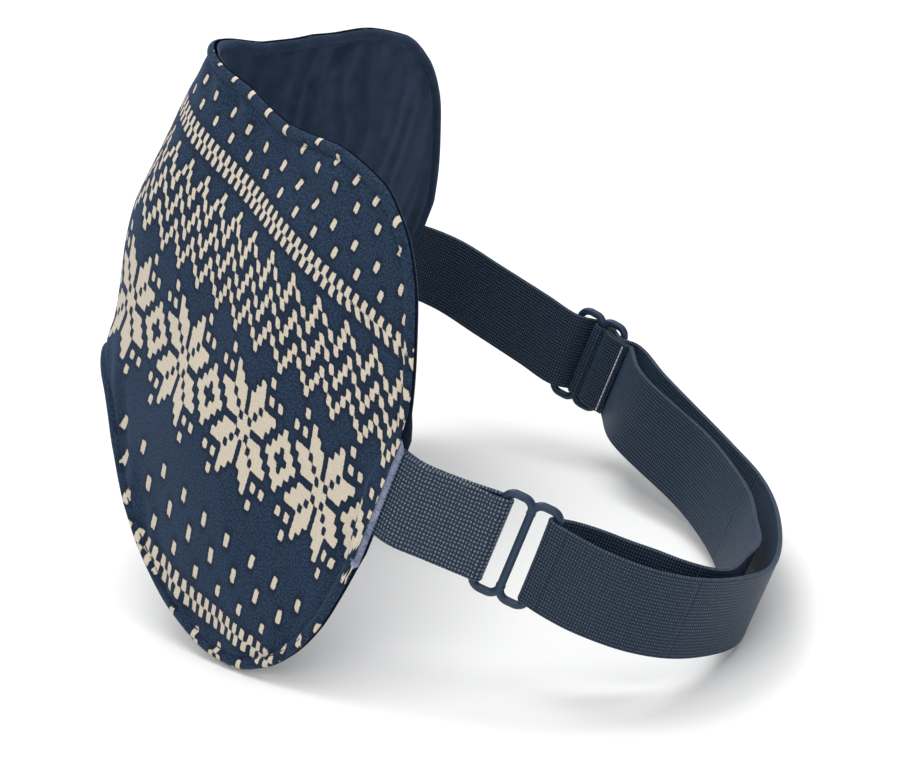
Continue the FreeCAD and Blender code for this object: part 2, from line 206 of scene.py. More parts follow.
# ---------------------------------------------------------------- printed chart
@dataclass(frozen=True)
class KnitChart:
    """Printed knit motif: columns run toward the near end, rows run down from the star line."""

    across: Tuple[float, ...] = (-63.3, 68.7, 7.1, -8.75, 13.2, 8.4, 44.0, -28.5)
    down: Tuple[float, ...] = (-0.5, -1.5, -4.0, -22.9, -1.8, 2.65, -8.0, 5.0)

    def cells(self, s: Array, z: Array) -> Tuple[Array, Array]:
        """Column and row coordinates of points on the cloth.

        The print stretches with the cloth, so each coordinate is a cubic of the distance a in
        tenths of a metre and the height h in twentieths: 1, a, a a, h, h h, h h h, a h, a a h.
        The far half carries the columns on past the nose. Above 31 mm and below -43 mm the rows
        go on evenly, 2.15 mm apart. Rows below the star band stand farther apart toward the nose.

        Args:
            s: Distances along the cloth in millimetres.
            z: Heights on the cloth in millimetres.

        Returns:
            Columns and rows.
        """
        middle_z = np.clip(z, -43.0, 31.0)
        beyond = (middle_z - z) / 2.15
        a, h = np.abs(s) / 100, middle_z / 50
        terms = np.stack([a ** 0, a, a * a, h, h * h, h ** 3, a * h, a * a * h])
        still = np.stack([a ** 0, 0 * a, 0 * a, h, h * h, h ** 3, 0 * a, 0 * a])
        column = np.tensordot(self.across, terms, 1)
        middle = np.tensordot(self.across, still, 1)
        column = np.where(s >= 0, column, 2 * middle - column)
        row = np.tensordot(self.down, terms, 1) + beyond
        stretch = np.interp(np.abs(s), (60.0, 88.0), (0.75, 0.93))
        return column, np.where(row > 8, 8 + (row - 8) * stretch, row)

    def printed(self, column: Array, row: Array) -> Array:
        """Whether a cell is printed cream.

        Stars repeat every 18 columns: a cross in the middle and petals in three rows, each three
        cells long and starting one cell farther out. A ringed diamond stands between two stars.
        Zigzags are three lines one cell thick with a period of 6. Checks alternate by column.
        Single dots fill the rest on a lattice of 6 columns.

        Args:
            column: Whole column numbers.
            row: Whole row numbers.

        Returns:
            True where the cell is cream.
        """
        a = np.abs((column + 9) % 18 - 9)
        b = np.abs(row)
        petal = (((b >= 1) & (b <= 3) & (a - b >= 1) & (a - b <= 3)) |
                 ((a >= 1) & (a <= 3) & (b - a >= 1) & (b - a <= 3)))
        axis = (a + b <= 1)
        dots = ((a == 5) & (b == 5)) | ((a == 7) & (b == 5)) | ((a == 5) & (b == 7))
        ring = (9 - a) + b
        star = petal | axis | dots | ((ring >= 2) & (ring <= 3))
        fold = np.abs((column + 3) % 6 - 3)
        zigzag = np.zeros_like(star)
        for foot in (-9, -12, -15):
            zigzag |= row == foot - fold
        for foot in (20, 23):
            zigzag |= row == foot + fold
        check = ((row == -20) | (row == -21) | (row == 17) | (row == 18)) & ((column + row) % 2 == 0)
        return star & (b <= 7) | zigzag | check | self.lice(column, row)

    @staticmethod
    def lice(column: Array, row: Array) -> Array:
        """Single dots above and below the bands, shifted by half a period on alternate rows."""
        dot = np.zeros(column.shape, bool)
        for step, level in enumerate((-23, -25, -28, -30, -33)):
            dot |= (row == level) & ((column + 3 * step) % 6 == 3)
        for step, level in enumerate((11, 13, 15)):
            dot |= (row == level) & ((column + 3 * step) % 6 == 3)
        return dot

    def signed_distance(self, column: Array, row: Array) -> Array:
        """Distance in cells to the nearest print edge, positive inside the print.

        Args:
            column: Column coordinates.
            row: Row coordinates.

        Returns:
            The distance to the nearest neighbour cell of the other colour, capped at 1.
        """
        i, j = np.floor(column + 0.5), np.floor(row + 0.5)
        inside = self.printed(i.astype(int), j.astype(int))
        nearest = np.ones(column.shape)
        for di in (-1, 0, 1):
            for dj in (-1, 0, 1):
                other = self.printed((i + di).astype(int), (j + dj).astype(int)) != inside
                gap_u = np.maximum(np.abs(column - i - di) - 0.5, 0)
                gap_v = np.maximum(np.abs(row - j - dj) - 0.5, 0)
                nearest = np.where(other, np.minimum(nearest, np.hypot(gap_u, gap_v)), nearest)
        return np.where(inside, nearest, -nearest)


# ---------------------------------------------------------------- meshes
def make_mesh(name: str, points: Array, faces: Array | List[List[int]], body: Body | None,
              material: bpy.types.Material,
              smooth: bool = True) -> bpy.types.Object:
    """Mesh object in the row frame that rides on a body.

    Args:
        name: Object name.
        points: Vertex rows in metres.
        faces: Rows of vertex numbers, three or four to a face.
        body: Body it rides on, or None for a piece that is left unattached.
        material: Its material.
        smooth: Whether faces shade smoothly.

    Returns:
        The new object.
    """
    mesh = bpy.data.meshes.new(name)
    mesh.from_pydata(points.tolist(), [], faces if isinstance(faces, list) else faces.tolist())
    mesh.polygons.foreach_set("use_smooth", np.full(len(mesh.polygons), smooth))
    mesh.materials.append(material)
    mesh.update()
    mesh.validate()
    piece = bpy.data.objects.new(name, mesh)
    bpy.context.scene.collection.objects.link(piece)
    if body is not None:
        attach(piece, body.value)
    return piece


def grid_faces(rows: int, columns: int, closed: bool = False, flip: bool = False) -> Array:
    """Quads of a rows by columns vertex grid, joined round the columns when closed."""
    i, j = np.meshgrid(np.arange(rows - 1), np.arange(columns if closed else columns - 1), indexing="ij")
    after = (j + 1) % columns
    quads = np.stack([i * columns + j, (i + 1) * columns + j,
                      (i + 1) * columns + after, i * columns + after], -1)
    quads = quads.reshape(-1, 4)
    return quads[:, ::-1] if flip else quads


def set_uv(piece: bpy.types.Object, u: Array, v: Array) -> None:
    """Store one texture coordinate per vertex as the UV map of every corner."""
    layer = piece.data.uv_layers.new(name="cloth")
    corners = np.empty(len(piece.data.loops), int)
    piece.data.loops.foreach_get("vertex_index", corners)
    layer.data.foreach_set("uv", np.stack([u[corners], v[corners]], -1).astype(np.float32).ravel())


def set_attribute(piece: bpy.types.Object, name: str, values: Array) -> None:
    """Store one number per vertex."""
    attribute = piece.data.attributes.new(name, "FLOAT", "POINT")
    attribute.data.foreach_set("value", values.astype(np.float32).ravel())


def wave_noise(s: Array, z: Array, pitch: float, seed: int, terms: int = 7) -> Array:
    """Smooth irregular waves: a sum of sines whose directions and phases come from a seed.

    Args:
        s: First coordinate.
        z: Second coordinate.
        pitch: Typical wavelength.
        seed: Seed of the random directions.
        terms: Number of sines.

    Returns:
        Values of about unit size.
    """
    random = np.random.default_rng(seed)
    total = np.zeros(np.broadcast(s, z).shape)
    for _ in range(terms):
        angle, phase = random.uniform(0, 2 * math.pi, 2)
        length = pitch * random.uniform(0.6, 1.7)
        total += np.sin(2 * math.pi * (s * math.cos(angle) + z * math.sin(angle)) / length + phase)
    return total / math.sqrt(terms)


def catmull_rom(points: Sequence[Tuple[float, float]], spacing: float) -> Array:
    """Smooth plan curve through points, resampled at an even spacing.

    Centripetal Catmull-Rom spans: each is blended from its four neighbours with knots spaced by
    the square root of the gaps.

    Args:
        points: Plan points.
        spacing: Distance between samples.

    Returns:
        Rows of x, y.
    """
    p = np.asarray(points, float)
    p = np.vstack([2 * p[0] - p[1], p, 2 * p[-1] - p[-2]])
    samples: List[Array] = []
    for k in range(1, len(p) - 2):
        steps = np.sqrt(np.linalg.norm(np.diff(p[k - 1:k + 3], axis=0), axis=1))
        knots = np.concatenate([[0], np.cumsum(steps)])
        t = np.linspace(knots[1], knots[2], 24, endpoint=False)[:, None]
        level = [p[k - 1 + i] + (p[k + i] - p[k - 1 + i]) * (t - knots[i]) / (knots[i + 1] - knots[i])
                 for i in range(3)]
        pair = [level[i] + (level[i + 1] - level[i]) * (t - knots[i]) / (knots[i + 2] - knots[i])
                for i in range(2)]
        samples.append(pair[0] + (pair[1] - pair[0]) * (t - knots[1]) / (knots[2] - knots[1]))
    curve = np.vstack(samples + [p[-2][None]])
    length = np.concatenate([[0], np.cumsum(np.linalg.norm(np.diff(curve, axis=0), axis=1))])
    even = np.linspace(0, length[-1], max(int(length[-1] / spacing), 2))
    return np.stack([np.interp(even, length, curve[:, 0]), np.interp(even, length, curve[:, 1])], -1)


# ---------------------------------------------------------------- finishes
@dataclass(frozen=True)
class Finish:
    """Named colours and roughness of one material."""

    name: str
    dark: Tuple[float, float, float, float]
    light: Tuple[float, float, float, float]
    roughness: float


PRINT = Finish("printed_cloth", (0.006, 0.014, 0.031, 1), (0.64, 0.57, 0.46, 1), 0.85)
PLUSH = Finish("plush_lining", (0.008, 0.015, 0.029, 1), (0.022, 0.036, 0.064, 1), 0.95)
# Long band: its light colour is a painted highlight on the weave crests.
ELASTIC = Finish("long_band_elastic", (0.004, 0.012, 0.026, 1), (0.058, 0.098, 0.150, 1), 0.5)
# Short loop: its brighter light colour is a painted highlight of glints on the weave crests; its lower
# roughness is real gloss.
GLOSSY_ELASTIC_PAINTED_GLINT = Finish("short_loop_elastic", (0.006, 0.015, 0.030, 1), (0.155, 0.215, 0.290, 1), 0.36)
WIRE = Finish("coated_wire", (0.006, 0.020, 0.046, 1), (0.012, 0.034, 0.070, 1), 0.34)
TAPE = Finish("loop_tape", (0.17, 0.19, 0.30, 1), (0.38, 0.41, 0.54, 1), 0.95)
HOOKS = Finish("hook_tape", (0.20, 0.23, 0.32, 1), (0.40, 0.43, 0.54, 1), 0.6)
COTTON = Finish("cotton_bag", (0.42, 0.40, 0.35, 1), (0.72, 0.69, 0.62, 1), 0.9)
GRAIN = Finish("flax_grain", (0.10, 0.045, 0.016, 1), (0.34, 0.19, 0.08, 1), 0.45)
THREAD = Finish("sewing_thread", (0.016, 0.028, 0.052, 1), (0.034, 0.052, 0.085, 1), 0.7)
PALE_THREAD = Finish("pale_thread", (0.45, 0.48, 0.55, 1), (0.62, 0.64, 0.70, 1), 0.7)
FLOOR = Finish("studio_floor", (0.93, 0.93, 0.93, 1), (0.93, 0.93, 0.93, 1), 0.9)


def new_material(name: str) -> Tuple[bpy.types.Material, bpy.types.Nodes, bpy.types.NodeLinks]:
    """Empty node material and its node and link collections."""
    material = bpy.data.materials.new(name)
    material.use_nodes = True
    material.node_tree.nodes.clear()
    return material, material.node_tree.nodes, material.node_tree.links


def printed_cloth(finish: Finish) -> bpy.types.Material:
    """Brushed navy cloth with the cream chart, read from the print and halo distances."""
    material, nodes, links = new_material(finish.name)
    group = nodes.new("NodeFrame")
    group.label = "Print edge"
    uv = nodes.new("ShaderNodeUVMap")
    uv.label = "Cloth millimetres"
    uv.location = (-1400, 0)
    uv.uv_map = "cloth"
    distance = nodes.new("ShaderNodeAttribute")
    distance.label = "Distance into print"
    distance.location = (-1200, 420)
    distance.attribute_name = "print_distance"
    distance.parent = group
    bleed = nodes.new("ShaderNodeTexNoise")
    bleed.label = "Ink bleed"
    bleed.location = (-1200, 220)
    bleed.inputs["Scale"].default_value = 1.3
    bleed.inputs["Detail"].default_value = 4.0
    bleed.parent = group
    wobble = nodes.new("ShaderNodeMath")
    wobble.label = "Wobbly edge"
    wobble.location = (-980, 380)
    wobble.operation = "MULTIPLY_ADD"
    wobble.inputs[1].default_value = 0.34
    wobble.parent = group
    ink = nodes.new("ShaderNodeMapRange")
    ink.label = "Ink cover"
    ink.location = (-780, 400)
    ink.inputs["From Min"].default_value = 0.10
    ink.inputs["From Max"].default_value = 0.20
    ink.parent = group
    halo = nodes.new("ShaderNodeMapRange")
    halo.label = "Deep navy outline"
    halo.location = (-780, 140)
    halo.inputs["From Min"].default_value = -0.75
    halo.inputs["From Max"].default_value = -0.10
    halo.parent = group
    mottle = nodes.new("ShaderNodeTexNoise")
    mottle.label = "Brushed nap"
    mottle.location = (-1000, -120)
    mottle.inputs["Scale"].default_value = 2.1
    mottle.inputs["Detail"].default_value = 8.0
    mottle.inputs["Roughness"].default_value = 0.75
    navy = nodes.new("ShaderNodeValToRGB")
    navy.label = "Navy nap"
    navy.location = (-780, -120)
    navy.color_ramp.elements[0].position = 0.42
    navy.color_ramp.elements[0].color = finish.dark
    navy.color_ramp.elements[1].position = 0.60
    navy.color_ramp.elements[1].color = (0.031, 0.055, 0.100, 1)
    outline = nodes.new("ShaderNodeMix")
    outline.label = "Outline round motifs"
    outline.location = (-480, 0)
    outline.data_type = "RGBA"
    outline.inputs["B"].default_value = (0.009, 0.017, 0.034, 1)
    cream = nodes.new("ShaderNodeValToRGB")
    cream.label = "Cream ink"
    cream.location = (-780, -360)
    cream.color_ramp.elements[0].position = 0.28
    cream.color_ramp.elements[0].color = (0.50, 0.44, 0.35, 1)
    cream.color_ramp.elements[1].position = 0.62
    cream.color_ramp.elements[1].color = finish.light
    colour = nodes.new("ShaderNodeMix")
    colour.label = "Cloth colour"
    colour.location = (-240, 120)
    colour.data_type = "RGBA"
    weave = nodes.new("ShaderNodeTexVoronoi")
    weave.label = "Fine twill grain"
    weave.location = (-780, -620)
    weave.inputs["Scale"].default_value = 3.2
    bump = nodes.new("ShaderNodeBump")
    bump.label = "Nap relief"
    bump.location = (-240, -420)
    bump.inputs["Strength"].default_value = 0.55
    bump.inputs["Distance"].default_value = 0.00025
    relief = nodes.new("ShaderNodeMath")
    relief.label = "Grain and nap"
    relief.location = (-480, -520)
    relief.operation = "ADD"
    surface = nodes.new("ShaderNodeBsdfPrincipled")
    surface.label = "Cloth"
    surface.location = (0, 100)
    surface.inputs["Roughness"].default_value = finish.roughness
    surface.inputs["Specular IOR Level"].default_value = 0.08
    surface.inputs["Sheen Weight"].default_value = 0.12
    surface.inputs["Sheen Roughness"].default_value = 0.45
    surface.inputs["Sheen Tint"].default_value = (0.40, 0.58, 0.95, 1)
    output = nodes.new("ShaderNodeOutputMaterial")
    output.location = (280, 100)
    links.new(uv.outputs["UV"], bleed.inputs["Vector"])
    links.new(uv.outputs["UV"], mottle.inputs["Vector"])
    links.new(uv.outputs["UV"], weave.inputs["Vector"])
    links.new(bleed.outputs["Fac"], wobble.inputs[0])
    links.new(distance.outputs["Fac"], wobble.inputs[2])
    links.new(wobble.outputs["Value"], ink.inputs["Value"])
    links.new(distance.outputs["Fac"], halo.inputs["Value"])
    links.new(mottle.outputs["Fac"], navy.inputs["Fac"])
    links.new(mottle.outputs["Fac"], cream.inputs["Fac"])
    links.new(halo.outputs["Result"], outline.inputs["Factor"])
    links.new(navy.outputs["Color"], outline.inputs["A"])
    links.new(ink.outputs["Result"], colour.inputs["Factor"])
    links.new(outline.outputs["Result"], colour.inputs["A"])
    links.new(cream.outputs["Color"], colour.inputs["B"])
    links.new(weave.outputs["Distance"], relief.inputs[0])
    links.new(mottle.outputs["Fac"], relief.inputs[1])
    links.new(relief.outputs["Value"], bump.inputs["Height"])
    links.new(colour.outputs["Result"], surface.inputs["Base Color"])
    links.new(bump.outputs["Normal"], surface.inputs["Normal"])
    links.new(surface.outputs["BSDF"], output.inputs["Surface"])
    return material


def napped(finish: Finish, scale: float, sheen: float, depth: float) -> bpy.types.Material:
    """Napped or threaded cloth: two noises mix its colours and raise its surface.

    Args:
        finish: Colours and roughness.
        scale: Noise scale per metre of object space.
        sheen: Strength of the nap's sheen.
        depth: Bump distance in metres.

    Returns:
        The material.
    """
    material, nodes, links = new_material(finish.name)
    place = nodes.new("ShaderNodeTexCoord")
    place.label = "Object place"
    place.location = (-1100, 0)
    broad = nodes.new("ShaderNodeTexNoise")
    broad.label = "Brushed patches"
    broad.location = (-880, 140)
    broad.inputs["Scale"].default_value = scale * 0.12
    broad.inputs["Detail"].default_value = 5.0
    pile = nodes.new("ShaderNodeTexNoise")
    pile.label = "Pile"
    pile.location = (-880, -160)
    pile.inputs["Scale"].default_value = scale
    pile.inputs["Detail"].default_value = 9.0
    pile.inputs["Roughness"].default_value = 0.8
    blend = nodes.new("ShaderNodeMath")
    blend.label = "Patches and pile"
    blend.location = (-660, 40)
    blend.operation = "MULTIPLY"
    ramp = nodes.new("ShaderNodeValToRGB")
    ramp.label = "Colour range"
    ramp.location = (-460, 60)
    ramp.color_ramp.elements[0].position = 0.14
    ramp.color_ramp.elements[0].color = finish.dark
    ramp.color_ramp.elements[1].position = 0.42
    ramp.color_ramp.elements[1].color = finish.light
    bump = nodes.new("ShaderNodeBump")
    bump.label = "Pile relief"
    bump.location = (-300, -220)
    bump.inputs["Strength"].default_value = 0.7
    bump.inputs["Distance"].default_value = depth
    surface = nodes.new("ShaderNodeBsdfPrincipled")
    surface.label = "Cloth"
    surface.location = (-60, 60)
    surface.inputs["Roughness"].default_value = finish.roughness
    surface.inputs["Specular IOR Level"].default_value = 0.08
    surface.inputs["Sheen Weight"].default_value = sheen
    surface.inputs["Sheen Roughness"].default_value = 0.5
    surface.inputs["Sheen Tint"].default_value = (0.35, 0.55, 0.95, 1)
    output = nodes.new("ShaderNodeOutputMaterial")
    output.location = (240, 60)
    links.new(place.outputs["Object"], broad.inputs["Vector"])
    links.new(place.outputs["Object"], pile.inputs["Vector"])
    links.new(broad.outputs["Fac"], blend.inputs[0])
    links.new(pile.outputs["Fac"], blend.inputs[1])
    links.new(blend.outputs["Value"], ramp.inputs["Fac"])
    links.new(pile.outputs["Fac"], bump.inputs["Height"])
    links.new(ramp.outputs["Color"], surface.inputs["Base Color"])
    links.new(bump.outputs["Normal"], surface.inputs["Normal"])
    links.new(surface.outputs["BSDF"], output.inputs["Surface"])
    return material


def woven_elastic(finish: Finish, rib: float, tangle: float) -> bpy.types.Material:
    """Woven elastic: crossing ribs along and across the band, their crests coloured lighter as a painted
    highlight.

    Args:
        finish: Colours and roughness.
        rib: Ribs to the millimetre along the band.
        tangle: Unevenness of the ribs.

    Returns:
        The material.
    """
    material, nodes, links = new_material(finish.name)
    group = nodes.new("NodeFrame")
    group.label = "Weave"
    uv = nodes.new("ShaderNodeUVMap")
    uv.label = "Band millimetres"
    uv.location = (-1300, 0)
    uv.uv_map = "cloth"
    across = nodes.new("ShaderNodeTexWave")
    across.label = "Weft ribs"
    across.location = (-1080, 240)
    across.bands_direction = "X"
    across.inputs["Scale"].default_value = rib
    across.inputs["Distortion"].default_value = tangle
    across.inputs["Detail"].default_value = 1.0
    across.parent = group
    along = nodes.new("ShaderNodeTexWave")
    along.label = "Warp cords"
    along.location = (-1080, -60)
    along.bands_direction = "Y"
    along.inputs["Scale"].default_value = rib * 0.8
    along.inputs["Distortion"].default_value = tangle
    along.inputs["Detail"].default_value = 1.0
    along.parent = group
    crest = nodes.new("ShaderNodeMath")
    crest.label = "Crossing crests"
    crest.location = (-860, 120)
    crest.operation = "MULTIPLY"
    crest.parent = group
    fibre = nodes.new("ShaderNodeTexNoise")
    fibre.label = "Yarn variation"
    fibre.location = (-1080, -360)
    fibre.inputs["Scale"].default_value = 1.6
    fibre.inputs["Detail"].default_value = 7.0
    crest_glint = nodes.new("ShaderNodeMath")
    crest_glint.label = "Uneven painted glints"
    crest_glint.location = (-640, 40)
    crest_glint.operation = "MULTIPLY"
    # Painted highlight: crest height, broken up by the yarn noise, lightens the colour from dark to light as
    # glints.
    ramp = nodes.new("ShaderNodeValToRGB")
    ramp.label = "Yarn colours and painted crest glints"
    ramp.location = (-440, 80)
    ramp.color_ramp.elements[0].position = 0.08
    ramp.color_ramp.elements[0].color = finish.dark
    ramp.color_ramp.elements[1].position = 0.48
    ramp.color_ramp.elements[1].color = finish.light
    bump = nodes.new("ShaderNodeBump")
    bump.label = "Rib relief"
    bump.location = (-300, -220)
    bump.inputs["Strength"].default_value = 0.8
    bump.inputs["Distance"].default_value = 0.00022
    surface = nodes.new("ShaderNodeBsdfPrincipled")
    surface.label = "Elastic"
    surface.location = (-60, 60)
    surface.inputs["Roughness"].default_value = finish.roughness
    surface.inputs["Specular IOR Level"].default_value = 0.22
    surface.inputs["Sheen Weight"].default_value = 0.1
    surface.inputs["Sheen Roughness"].default_value = 0.4
    surface.inputs["Sheen Tint"].default_value = (0.4, 0.6, 0.95, 1)
    output = nodes.new("ShaderNodeOutputMaterial")
    output.location = (240, 60)
    links.new(uv.outputs["UV"], across.inputs["Vector"])
    links.new(uv.outputs["UV"], along.inputs["Vector"])
    links.new(uv.outputs["UV"], fibre.inputs["Vector"])
    links.new(across.outputs["Fac"], crest.inputs[0])
    links.new(along.outputs["Fac"], crest.inputs[1])
    links.new(crest.outputs["Value"], crest_glint.inputs[0])
    links.new(fibre.outputs["Fac"], crest_glint.inputs[1])
    links.new(crest_glint.outputs["Value"], ramp.inputs["Fac"])
    links.new(crest.outputs["Value"], bump.inputs["Height"])
    links.new(ramp.outputs["Color"], surface.inputs["Base Color"])
    links.new(bump.outputs["Normal"], surface.inputs["Normal"])
    links.new(surface.outputs["BSDF"], output.inputs["Surface"])
    return material


def coated_wire(finish: Finish) -> bpy.types.Material:
    """Satin nylon coating over wire, with a slight unevenness."""
    material, nodes, links = new_material(finish.name)
    place = nodes.new("ShaderNodeTexCoord")
    place.label = "Object place"
    place.location = (-900, 0)
    uneven = nodes.new("ShaderNodeTexNoise")
    uneven.label = "Coating unevenness"
    uneven.location = (-700, 0)
    uneven.inputs["Scale"].default_value = 420.0
    uneven.inputs["Detail"].default_value = 3.0
    ramp = nodes.new("ShaderNodeValToRGB")
    ramp.label = "Coating colour"
    ramp.location = (-480, 80)
    ramp.color_ramp.elements[0].color = finish.dark
    ramp.color_ramp.elements[1].color = finish.light
    bump = nodes.new("ShaderNodeBump")
    bump.label = "Orange peel"
    bump.location = (-300, -160)
    bump.inputs["Strength"].default_value = 0.12
    bump.inputs["Distance"].default_value = 0.0001
    surface = nodes.new("ShaderNodeBsdfPrincipled")
    surface.label = "Coating"
    surface.location = (-60, 60)
    surface.inputs["Roughness"].default_value = finish.roughness
    surface.inputs["Specular IOR Level"].default_value = 0.3
    surface.inputs["Coat Weight"].default_value = 0.08
    surface.inputs["Coat Roughness"].default_value = 0.25
    output = nodes.new("ShaderNodeOutputMaterial")
    output.location = (240, 60)
    links.new(place.outputs["Object"], uneven.inputs["Vector"])
    links.new(uneven.outputs["Fac"], ramp.inputs["Fac"])
    links.new(uneven.outputs["Fac"], bump.inputs["Height"])
    links.new(ramp.outputs["Color"], surface.inputs["Base Color"])
    links.new(bump.outputs["Normal"], surface.inputs["Normal"])
    links.new(surface.outputs["BSDF"], output.inputs["Surface"])
    return material


def plain_floor(finish: Finish) -> bpy.types.Material:
    """Matte studio floor."""
    material, nodes, links = new_material(finish.name)
    surface = nodes.new("ShaderNodeBsdfPrincipled")
    surface.label = "Floor"
    surface.inputs["Base Color"].default_value = finish.light
    surface.inputs["Roughness"].default_value = finish.roughness
    surface.inputs["Specular IOR Level"].default_value = 0.0
    output = nodes.new("ShaderNodeOutputMaterial")
    output.location = (280, 0)
    links.new(surface.outputs["BSDF"], output.inputs["Surface"])
    return material


# ---------------------------------------------------------------- pillow
@dataclass
class Cover:
    """The sewn cover: printed front, plush lining, rolled edge and topstitching."""

    form: MaskForm
    stance: Stance
    chart: KnitChart
    front_depth: float = 7.4
    back_depth: float = 5.6
    reach: float = 40.0
    bead: float = 1.45
    groove: float = 2.9

    def relief(self, s: Array, z: Array, depth: float) -> Array:
        """Half thickness of the cover on one side.

        From the edge inward: a round bead, a pinched topstitch groove, then a belly that fills
        out over the reach, part circular and part S-shaped, and is slimmer over the nose.

        Args:
            s: Distances along the cloth.
            z: Heights on the cloth.
            depth: Belly depth of this side.

        Returns:
            Distance of the outer face from the middle surface.
        """
        d = self.form.edge_distance(s, z)
        bead = self.bead * np.sqrt(np.clip(1 - ((d - 1.35) / 1.4) ** 2, 0, 1))
        inner = np.clip(d - self.groove, 0, None)
        nose = 0.62 + 0.38 * np.clip(np.abs(s) / 30, 0, 1)
        share = np.clip(inner / self.reach, 0, 1)
        belly = depth * nose * (0.4 * (1 - (1 - share) ** 2) + 0.6 * share ** 2 * (3 - 2 * share))
        floor = 0.55 + 0.25 * np.clip(d - 2.2, 0, 1)
        body = np.where(d > 2.2, floor + belly, 0)
        near_end = np.clip((s - self.form.end + 6) / 5, 0, 1) * np.clip(1 - np.abs(z + 1) / 22, 0, 1)
        return np.maximum(np.maximum(bead, body), 1.7 * np.minimum(3 * near_end, 1))

    def creases(self, s: Array, z: Array, front: bool) -> Array:
        """Wrinkles: puckers along the seam, soft swells, and upright folds on the hollow side."""
        d = self.form.edge_distance(s, z)
        along = s + 0.8 * z * np.sign(s) * 0.15
        pucker = 0.42 * wave_noise(along, 0.15 * z, 6.0, 11) * np.exp(-((d - 5.0) / 3.5) ** 2)
        swell = 0.55 * wave_noise(s, z, 38.0, 5) * np.clip(d / 14, 0, 1)
        if front:
            dent = -1.2 * np.exp(-((s - 52) / 7.5) ** 2 - ((z - 47.0 + 0.25 * (s - 52)) / 3.0) ** 2)
            fold = 1.0 * np.exp(-((s - 55) / 11) ** 2 - ((z - 52.0) / 3.0) ** 2)
            return pucker + swell + (dent + fold) * np.clip(d / 5, 0, 1)
        warp = s + 1.8 * wave_noise(s, z, 45.0, 23)
        upright = 0.5 * np.sin(2 * math.pi * warp / 15.5) + 0.22 * np.sin(2 * math.pi * warp / 8.3 + 1.1)
        sharp = -np.abs(upright) * 0.75
        return pucker + 0.8 * swell + sharp * np.clip((d - 3) / 9, 0, 1)

    def panel(self, name: str, front: bool, step_s: float, step_z: float,
              material: bpy.types.Material) -> bpy.types.Object:
        """One side of the cover as an open sheet that ends at the outline."""
        columns = int(2 * self.form.end / step_s) + 1
        rows = int(118 / step_z) + 1
        s_line = np.linspace(-self.form.end, self.form.end, columns)
        ease = np.linspace(0, 1, rows)
        ease = 0.5 - 0.5 * np.cos(math.pi * (0.06 + 0.88 * ease)) / math.cos(math.pi * 0.06)
        s = np.repeat(s_line[:, None], rows, 1)
        low, high = self.form.bottom(s_line)[:, None], self.form.top(s_line)[:, None]
        z = low + (high - low) * ease[None]
        depth = self.front_depth if front else self.back_depth
        sign = 1.0 if front else -1.0
        out = sign * np.maximum(self.relief(s, z, depth) + self.creases(s, z, front) *
                                np.clip(self.form.edge_distance(s, z) - 2.6, 0, 1), 0.02)
        points = self.stance.place(self.form.wall(s.ravel(), out.ravel(), z.ravel()))
        piece = make_mesh(name, points, grid_faces(columns, rows, flip=front), Body.PILLOW, material)
        set_uv(piece, s.ravel(), z.ravel())
        if front:
            u, v = self.chart.cells(s, z)
            set_attribute(piece, "print_distance", self.chart.signed_distance(u, v))
        return piece

    def stitches(self, name: str, front: bool, material: bpy.types.Material) -> bpy.types.Object:
        """Topstitching: short thread capsules in the groove beside the rolled edge."""
        run = np.linspace(-self.form.end + 5, self.form.end - 5, 1200)
        loops = []
        for edge, sign in ((self.form.top, -1.0), (self.form.bottom, 1.0)):
            loops.append(np.stack([run, edge(run) + sign * self.groove], -1))
        points: List[Array] = []
        faces: List[Array] = []
        for path in loops:
            length = np.concatenate([[0], np.cumsum(np.linalg.norm(np.diff(path, axis=0), axis=1))])
            starts = np.arange(0, length[-1] - 2.4, 3.0)
            for start in starts:
                t = np.linspace(start, start + 2.3, 6)
                flat = np.stack([np.interp(t, length, path[:, 0]), np.interp(t, length, path[:, 1])], -1)
                depth = self.front_depth if front else self.back_depth
                base = self.relief(flat[:, 0], flat[:, 1], depth) - 0.04
                width = 0.2 * np.sqrt(np.clip(1 - np.linspace(-1, 1, 6) ** 4, 0.02, 1))
                side = 1.0 if front else -1.0
                angle = np.linspace(0, 2 * math.pi, 6, endpoint=False)
                ring_z = flat[:, 1][:, None] + width[:, None] * np.sin(angle)[None]
                ring_out = side * (base[:, None] + width[:, None] * np.cos(angle)[None])
                ring_s = np.repeat(flat[:, 0][:, None], 6, 1)
                offset = sum(len(block) for block in points)
                points.append(self.form.wall(ring_s.ravel(), ring_out.ravel(), ring_z.ravel()))
                faces.append(grid_faces(6, 6, closed=True, flip=front) + offset)
        return make_mesh(name, self.stance.place(np.vstack(points)), np.vstack(faces), Body.PILLOW,
                         material)

    def build(self) -> None:
        """Make every piece of the cover."""
        front = self.panel("cover_front", True, 0.46, 0.52, printed_cloth(PRINT))
        back = self.panel("cover_lining", False, 0.9, 0.9,
                          napped(PLUSH, 2200.0, 0.25, 0.0005))
        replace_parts(front, "front_panel", "edge_seam_upper", "edge_seam_lower")
        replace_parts(back, "back_panel")
        thread = napped(THREAD, 3000.0, 0.2, 0.0001)
        front_thread = self.stitches("topstitching_front", True, thread)
        self.stitches("topstitching_back", False, thread)
        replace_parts(front_thread, "topstitch_upper", "topstitch_lower")


